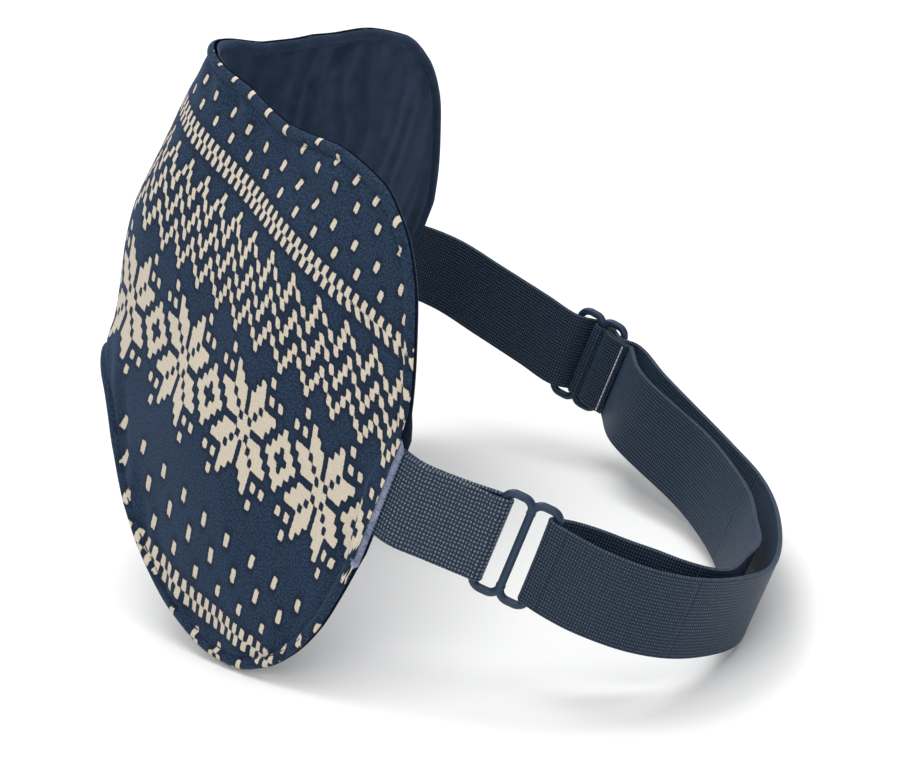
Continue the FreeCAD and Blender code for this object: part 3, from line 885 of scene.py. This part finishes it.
# ---------------------------------------------------------------- strap
@dataclass(frozen=True)
class ThreeBar:
    """Place and size of a wire ring or slider with three bars."""

    x: float
    y: float
    heading_degrees: float
    pitch: float = 6.4
    length: float = 25.0
    wire: float = 0.95
    corner: float = 2.4

    @property
    def along(self) -> Array:
        """Plan direction from the first bar to the last."""
        a = math.radians(self.heading_degrees)
        return np.array([math.cos(a), math.sin(a)])

    def bar(self, number: int) -> Array:
        """Plan centre of bar -1, 0 or 1."""
        return np.array([self.x, self.y]) + self.along * self.pitch * number

    def outline(self) -> Array:
        """Closed centre line of the outer wire: two bars joined by double bumps."""
        half, r, p = self.length / 2 - self.wire, self.corner, self.pitch
        turn = np.linspace(0, math.pi / 2, 8)
        right = np.concatenate([
            np.stack([np.full(14, p), np.linspace(-half + r, half - r, 14)], -1),
            np.stack([p - r + r * np.cos(turn[1:]), half - r + r * np.sin(turn[1:])], -1),
            np.stack([r - r * np.sin(turn), half - r + r * np.cos(turn)], -1)[:-1],
            np.array([[0.25, half - r - 0.1]]),
        ])
        upper = np.concatenate([right[10:], (right * [-1, 1])[::-1][:-10]])
        lower = (upper * [-1, -1])
        bars = np.linspace(half - r, -half + r, 20)
        left = np.stack([np.full(20, -p), bars], -1)
        top = upper[upper[:, 1] > half - r - 0.2]
        down = top * [-1, -1]
        return np.concatenate([top, left[1:-1], down, left[1:-1] * [-1, -1]])


def tube(path: Array, radius: float, sides: int, closed: bool) -> Tuple[Array, Array]:
    """Round tube along a path that lies in the plane of its first two coordinates.

    Each ring is spanned by the plane's normal and the in-plane normal of the path.

    Args:
        path: Rows of in-plane coordinates.
        radius: Tube radius.
        sides: Corners in a ring.
        closed: Whether the path closes on itself.

    Returns:
        Vertex rows of (a, b, height) and quads.
    """
    before, after = np.roll(path, 1, 0), np.roll(path, -1, 0)
    if not closed:
        before[0], after[-1] = path[0], path[-1]
    tangent = after - before
    tangent /= np.linalg.norm(tangent, axis=1)[:, None]
    normal = np.stack([-tangent[:, 1], tangent[:, 0]], -1)
    angle = np.linspace(0, 2 * math.pi, sides, endpoint=False)
    spread = path[:, None] + normal[:, None] * (radius * np.cos(angle))[None, :, None]
    height = np.broadcast_to(radius * np.sin(angle), (len(path), sides))
    points = np.concatenate([spread, height[..., None]], -1).reshape(-1, 3)
    faces = grid_faces(len(path), sides, closed=True)
    if closed:
        last = (len(path) - 1) * sides
        j = np.arange(sides)
        after_j = (j + 1) % sides
        faces = np.vstack([faces, np.stack([last + j, j, after_j, last + after_j], -1)])
    return points, faces


@dataclass
class Hardware:
    """Wire ring and wire slider."""

    stance: Stance
    ring: ThreeBar
    slider: ThreeBar

    def build_one(self, name: str, part: ThreeBar, body: Body,
                  material: bpy.types.Material) -> bpy.types.Object:
        """Mesh of one three-bar wire piece."""
        outer_points, outer_faces = tube(part.outline(), part.wire, 20, True)
        half = part.length / 2 - part.wire - part.corner + 0.2
        bar_path = np.stack([np.zeros(24), np.linspace(-half, half, 24)], -1)
        bar_points, bar_faces = tube(bar_path, part.wire, 20, False)
        local = np.vstack([outer_points, bar_points])
        faces = np.vstack([outer_faces, bar_faces + len(outer_points)])
        across = np.array([-part.along[1], part.along[0]])
        plan = np.array([part.x, part.y]) + local[:, :1] * part.along + local[:, 2:] * across
        upright = np.column_stack([plan, local[:, 1]])
        return make_mesh(name, self.stance.place(upright), faces, body, material)

    def build(self) -> None:
        """Make the ring and the slider."""
        material = coated_wire(WIRE)
        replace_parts(self.build_one("wire_ring", self.ring, Body.RING, material), "near_ring")
        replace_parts(self.build_one("wire_slider", self.slider, Body.SLIDER, material), "adjuster_slider")


@dataclass
class Strap:
    """Woven elastic: short loop, long band and its sewn end."""

    stance: Stance
    form: MaskForm
    ring: ThreeBar
    slider: ThreeBar
    width: float = 20.0
    thick: float = 1.2
    lengths: Dict[str, float] = field(default_factory=dict)

    def band(self, name: str, path: Array, width: float, thick: float, body: Body | None,
             material: bpy.types.Material,
             ripple: Callable[[Array, Array], Array] | None = None, first: float = 0.0) -> bpy.types.Object:
        """Band standing on edge along a plan path.

        The section is a flat strip with a round bead at each selvedge.

        Args:
            name: Object name.
            path: Rows of plan x, y.
            width: Band width.
            thick: Band thickness.
            body: Body it rides on.
            material: Its material.
            ripple: Sideways shift as a function of length and height.
            first: Length of elastic before this piece.

        Returns:
            The band.
        """
        half = width / 2
        across = np.concatenate([[-1.0], np.linspace(-0.985, -0.90, 5), np.linspace(-0.87, 0.87, 26),
                                 np.linspace(0.90, 0.985, 5), [1.0]]) * half
        edge = np.clip((half - np.abs(across)) / 0.5, 0, 1)
        selvedge = np.exp(-((half - np.abs(across) - 0.55) / 0.35) ** 2)
        offset = (thick / 2) * (0.15 + 0.85 * np.sqrt(1 - (1 - edge) ** 2)) * (0.90 + 0.10 * selvedge)
        tangent = np.gradient(path, axis=0)
        tangent /= np.linalg.norm(tangent, axis=1)[:, None]
        normal = np.stack([-tangent[:, 1], tangent[:, 0]], -1)
        length = np.concatenate([[0], np.cumsum(np.linalg.norm(np.diff(path, axis=0), axis=1))])
        self.lengths[name] = float(length[-1])
        length = length + first
        section = np.concatenate([np.stack([across, offset], -1), np.stack([across, -offset], -1)[::-1]])
        shift = np.zeros((len(path), len(section)))
        if ripple is not None:
            shift = ripple(length[:, None], section[None, :, 0])
        away = section[None, :, 1] + shift
        plan = path[:, None] + normal[:, None] * away[..., None]
        height = np.broadcast_to(section[None, :, 0], away.shape)
        upright = np.concatenate([plan, height[..., None]], -1).reshape(-1, 3)
        count = len(section)
        faces = [grid_faces(len(path), count, closed=True)]
        half_count = count // 2
        for first, flip in ((0, False), ((len(path) - 1) * count, True)):
            j = np.arange(half_count - 1)
            cap = np.stack([first + j, first + j + 1, first + count - 2 - j, first + count - 1 - j], -1)
            faces.append(cap[:, ::-1] if flip else cap)
        piece = make_mesh(name, self.stance.place(upright), np.vstack(faces), body, material)
        set_uv(piece, np.repeat(length, count), np.tile(section[:, 0], len(path)))
        return piece

    def wrap_points(self, centre: Array, radius: float, first: float, last: float,
                    steps: int) -> List[Tuple[float, float]]:
        """Points of an arc round a bar, between two directions in degrees."""
        angles = np.radians(np.linspace(first, last, steps))
        return [(centre[0] + radius * math.cos(a), centre[1] + radius * math.sin(a)) for a in angles]

    def wall(self, s: float, out: float) -> Tuple[float, float]:
        """Plan point on or beside the mask's middle surface."""
        point = self.form.wall(np.array([s]), np.array([out]), np.array([0.0]))[0]
        return float(point[0]), float(point[1])

    def long_band(self) -> Array:
        """Plan path of the long band from the far mask end to its sewn end."""
        slider, ring = self.slider, self.ring
        out = np.array([-slider.along[1], slider.along[0]])
        ring_out = np.array([ring.along[1], -ring.along[0]])
        wrap = slider.wire + 0.16 + self.thick / 2
        over = wrap + self.thick + 0.4
        start = [self.wall(4.5 - self.form.end, 0), self.wall(-self.form.end, 0),
                 (-73.8, 9.5), (-64.8, 22.0), (-55.6, 34.0)]
        weave = [tuple(slider.bar(-1) - out * (wrap + 0.4)), tuple(slider.bar(0) + out * over),
                 tuple(slider.bar(1) - out * wrap), tuple(slider.bar(0) + slider.along * 10.5 - out * 0.3)]
        outer = [(-28.2, 64.6), (1.2, 79.6), (15.5, 86.0), (31.0, 88.6), (54.5, 87.4), (68.7, 83.4),
                 (79.0, 75.6),
                 (86.6, 66.0), (89.9, 56.0), (89.2, 45.0), (86.6, 38.4)]
        turn = [tuple(ring.bar(1) + ring_out * wrap),
                tuple(ring.bar(1) + (ring_out - ring.along) * wrap * 0.7071),
                tuple(ring.bar(1) - ring.along * wrap),
                tuple(ring.bar(1) - (ring_out + ring.along) * wrap * 0.7071),
                tuple(ring.bar(1) - ring_out * wrap)]
        inner = [(79.6, 39.5), (78.6, 46.0), (79.6, 55.0), (80.4, 63.0), (76.8, 71.5), (68.0, 78.0),
                 (56.0, 81.8),
                 (42.5, 83.0), (27.0, 82.0), (13.0, 78.4), (1.5, 73.6), (-24.0, 58.2)]
        end = slider.bar(0) + slider.along * 10.2 - out * (wrap + self.thick + 1.0)
        return catmull_rom(start + weave + outer + turn + inner + [tuple(end)], 0.7)

    def build(self) -> None:
        """Make the bands."""
        coarse = woven_elastic(GLOSSY_ELASTIC_PAINTED_GLINT, 0.42, 2.2)
        fine = woven_elastic(ELASTIC, 0.50, 0.8)
        path = self.long_band()

        total = float(np.linalg.norm(np.diff(path, axis=0), axis=1).sum())

        def ripple(length: Array, height: Array) -> Array:
            """Slack waves on the inner leaf round the back bend."""
            place = np.exp(-((length - 0.70 * total) / 38) ** 2)
            rise = 0.35 + 0.65 * np.clip(height / 10, 0, 1)
            return 0.8 * place * np.sin(length / 4.1 + 0.12 * height) * rise

        self.long_pieces(path, ripple, fine)
        ring, slider = self.ring, self.slider
        wrap = ring.wire + 0.08 + self.thick / 2
        end = self.form.end
        out_path = [self.wall(end - 3, -0.3), self.wall(end, -0.1), (78.0, 4.0), (79.3, 12.0)]
        back_path = [(77.8, 12.4), (76.5, 4.6), self.wall(end, -1.6), self.wall(end - 3, -1.6)]
        heading = ring.heading_degrees
        wrap_arc = self.wrap_points(ring.bar(-1), wrap, heading - 100, heading + 100, 9)
        loop = self.band("short_band", catmull_rom(out_path + wrap_arc + back_path, 0.6), self.width,
                         self.thick, Body.PILLOW, coarse)
        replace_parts(loop, "short_loop")
        out = np.array([-slider.along[1], slider.along[0]])
        spot = slider.bar(0) + slider.along * 9.6 - out * (wrap + self.thick + 1.0)
        arc = self.wrap_points(slider.bar(0), wrap, slider.heading_degrees + 55,
                               slider.heading_degrees + 325, 13)
        tab_path = [tuple(spot + out * 0.62), tuple(slider.bar(0) + slider.along * 4.4 - out * 2.2)] + arc
        tab_path += [tuple(slider.bar(0) + slider.along * 4.0 - out * 3.6), tuple(spot - out * 0.62)]
        tab = self.band("sewn_end", catmull_rom(tab_path, 0.5), self.width - 0.6, 1.05, Body.SLIDER, fine)
        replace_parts(tab, "strap_end_tab")
        self.end_stitching(spot - slider.along * 1.2, out)

    def long_pieces(self, path: Array, ripple: Callable[[Array, Array], Array],
                    material: bpy.types.Material) -> None:
        """Cut the long band where it starts and stops following the slider or the ring, and make each length.

        Args:
            path: Plan path of the whole band.
            ripple: Slack waves over the whole band.
            material: Its material.
        """
        marks = [self.slider.bar(0), np.array([15.5, 86.0]), np.array([27.0, 82.0])]
        at = [int(np.argmin(np.linalg.norm(path - mark, axis=1))) for mark in marks]
        from_ring = np.linalg.norm(path - self.ring.bar(1), axis=1)
        near_ring, round_bar = np.flatnonzero(from_ring < 32), np.flatnonzero(from_ring < 4)
        cuts = [0, at[0], at[1], near_ring[0], round_bar[0], round_bar[-1], near_ring[-1], at[2],
                len(path) - 1]
        far, near = self.slider.bar(-1) - self.slider.along * 3, self.slider.bar(1) + self.slider.along * 4
        ties = [("band_far_end", Body.PILLOW, Body.SLIDER, path[0], far),
                ("band_outer_leaf", Body.SLIDER, Body.PILLOW, near, marks[1]),
                ("band_back_outer", Body.PILLOW, Body.PILLOW, None, None),
                ("band_to_ring", Body.PILLOW, Body.RING, path[cuts[3]], path[cuts[4]]),
                ("band_ring_turn", Body.RING, Body.RING, None, None),
                ("band_from_ring", Body.RING, Body.PILLOW, path[cuts[5]], path[cuts[6]]),
                ("band_back_inner", Body.PILLOW, Body.PILLOW, None, None),
                ("band_inner_leaf", Body.PILLOW, Body.SLIDER, marks[2], near)]
        steps = np.linalg.norm(np.diff(path, axis=0), axis=1)
        for (name, first, last, start, stop), low, high in zip(ties, cuts, cuts[1:]):
            piece = self.band(name, path[low:high + 1], self.width, self.thick,
                              first if first is last else None, material, ripple,
                              float(steps[:low].sum()))
            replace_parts(piece, "head_strap")
            if first is not last:
                ends = self.stance.place(np.array([[*start, 0.0], [*stop, 0.0]]))
                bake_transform(piece)

    def end_stitching(self, spot: Array, out: Array) -> None:
        """Thread across the sewn end: a row of small pale stitches."""
        points: List[Array] = []
        faces: List[Array] = []
        for k, z in enumerate(np.arange(-8.6, 8.7, 1.15)):
            path = np.stack([np.full(5, 0.0), z + np.linspace(-0.48, 0.48, 5)], -1)
            local, quads = tube(path, 0.2, 6, False)
            base = spot - out * 1.15
            plan = base + local[:, :1] * self.slider.along - out * local[:, 2:]
            offset = sum(len(block) for block in points)
            points.append(np.column_stack([plan, local[:, 1]]))
            faces.append(quads + offset)
        material = napped(PALE_THREAD, 3000.0, 0.1, 0.0001)
        piece = make_mesh("end_stitches", self.stance.place(np.vstack(points)), np.vstack(faces), Body.SLIDER,
                          material)
        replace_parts(piece, "strap_end_stitching")


def dress_filling() -> None:
    """Dress the hidden pieces that keep their frame shapes: the cotton bag and its grain."""
    cotton, grain = napped(COTTON, 2600.0, 0.1, 0.0002), napped(GRAIN, 900.0, 0.0, 0.0008)
    for name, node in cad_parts.items():
        if name.startswith(("bag_", "grain_fill_")):
            node.data.materials.clear()
            node.data.materials.append(cotton if name.startswith("bag_") else grain)


@dataclass
class Opening:
    """Side opening of the cover with its hook-and-loop tapes."""

    form: MaskForm
    stance: Stance

    def strip(self, name: str, middle: Tuple[float, float], half: Tuple[float, float],
              reach: Tuple[float, float],
              fuzz: float, material: bpy.types.Material) -> bpy.types.Object:
        """Tape standing along the wall: an ellipse in s and out, roughened by a seeded fuzz.

        Args:
            name: Object name.
            middle: Distance along the cloth and distance out of the tape's middle.
            half: Half width along the cloth and half thickness.
            reach: Lowest and highest point.
            fuzz: Size of the loops' unevenness.
            material: Its material.

        Returns:
            The tape.
        """
        rows, sides = 150, 14
        z = np.linspace(*reach, rows)
        angle = np.linspace(0, 2 * math.pi, sides, endpoint=False)
        rough = np.random.default_rng(4).normal(0, fuzz, (rows, sides))
        taper = np.clip(np.minimum(z - reach[0], reach[1] - z) / 2, 0.1, 1)[:, None]
        s = middle[0] + (half[0] * np.cos(angle)[None] + rough) * taper
        out = middle[1] + (half[1] * np.sin(angle)[None] + rough) * taper
        tall = np.repeat(z[:, None], sides, 1)
        points = self.stance.place(self.form.wall(s.ravel(), out.ravel(), tall.ravel()))
        caps = np.array([np.arange(sides)[::-1], (rows - 1) * sides + np.arange(sides)])
        faces = grid_faces(rows, sides, closed=True).tolist() + caps.tolist()
        return make_mesh(name, points, faces, Body.PILLOW, material)

    def build(self) -> None:
        """Make the loop tape that shows between the panels and the hook tape behind it."""
        end = self.form.end
        loops, hooks = napped(TAPE, 2200.0, 0.4, 0.0006), napped(HOOKS, 3000.0, 0.1, 0.0003)
        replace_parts(self.strip("loop_tape", (end - 0.6, 0.75), (1.75, 0.62), (-20.0, 12.5), 0.12, loops),
                    "opening_loop_tape")
        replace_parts(self.strip("hook_tape", (end - 6.0, -0.35), (1.6, 0.28), (-15.5, 9.5), 0.03, hooks),
                    "opening_hook_tape")


# ---------------------------------------------------------------- studio
@dataclass(frozen=True)
class Studio:
    """Floor, lights and camera."""

    camera_azimuth: float = 93.06
    camera_elevation: float = 21.458
    camera_roll: float = -5.09
    camera_distance: float = 0.67485
    target: Tuple[float, float, float] = (0.0018, 0.00411, 0.04486)
    focal_mm: float = 116.04

    def build(self) -> None:
        """Make the studio round the object."""
        mesh = bpy.data.meshes.new("floor")
        mesh.from_pydata([(-6, -6, 0), (6, -6, 0), (6, 6, 0), (-6, 6, 0)], [], [(0, 1, 2, 3)])
        mesh.materials.append(plain_floor(FLOOR))
        floor = bpy.data.objects.new("floor", mesh)
        bpy.context.scene.collection.objects.link(floor)
        for name, place, size, power in (("key", (-0.35, -0.25, 1.15), 0.6, 6.5),
                                         ("fill", (0.9, -0.25, 0.6), 0.9, 4.0),
                                         ("top", (0.1, 0.3, 1.3), 0.9, 6.0)):
            light = bpy.data.lights.new(name, "AREA")
            light.energy = power
            light.size = size
            lamp = bpy.data.objects.new(name, light)
            lamp.location = place
            direction = np.array([0, 0, 0.04]) - np.array(place)
            lamp.rotation_euler = self.aim(direction, 0.0)
            bpy.context.scene.collection.objects.link(lamp)
        self.world()
        self.camera()
        view = bpy.context.scene.view_settings
        view.view_transform = "Standard"
        view.look = "None"
        view.exposure = 0.0

    @staticmethod
    def aim(direction: Array, roll: float):
        """Euler angles that look along a direction with the given roll in degrees."""
        look = Vector(direction).to_track_quat("-Z", "Y").to_matrix()
        return (look @ Matrix.Rotation(math.radians(roll), 3, "Z")).to_euler()

    def world(self) -> None:
        """Even white surroundings."""
        world = bpy.data.worlds.new("studio")
        bpy.context.scene.world = world
        world.use_nodes = True
        nodes, links = world.node_tree.nodes, world.node_tree.links
        nodes.clear()
        sky = nodes.new("ShaderNodeBackground")
        sky.label = "White surroundings"
        sky.inputs["Color"].default_value = (1, 1, 1, 1)
        sky.inputs["Strength"].default_value = 0.55
        output = nodes.new("ShaderNodeOutputWorld")
        output.location = (240, 0)
        links.new(sky.outputs["Background"], output.inputs["Surface"])

    def camera(self) -> None:
        """Camera at the viewing angle."""
        a, e = math.radians(self.camera_azimuth), math.radians(self.camera_elevation)
        back = np.array([math.sin(a) * math.cos(e), -math.cos(a) * math.cos(e), math.sin(e)])
        lens = bpy.data.cameras.new("camera")
        lens.lens = self.focal_mm
        lens.sensor_width = 36.0
        camera = bpy.data.objects.new("camera", lens)
        camera.location = np.array(self.target) + back * self.camera_distance
        camera.rotation_euler = self.aim(-back, self.camera_roll)
        bpy.context.scene.collection.objects.link(camera)
        scene = bpy.context.scene
        scene.camera = camera
        scene.render.resolution_x = 900
        scene.render.resolution_y = 767


def main() -> None:
    """Build the eye pillow and its studio."""
    stance, form = Stance(), MaskForm()
    ring = ThreeBar(81.0, 29.0, 75.0)
    slider = ThreeBar(-48.1, 48.8, 63.0)
    Cover(form, stance, KnitChart()).build()
    Hardware(stance, ring, slider).build()
    strap = Strap(stance, form, ring, slider)
    strap.build()
    Opening(form, stance).build()
    dress_filling()
    Studio().build()
    LOG.info("band lengths %s", strap.lengths)


if __name__ == "__main__":
    main()
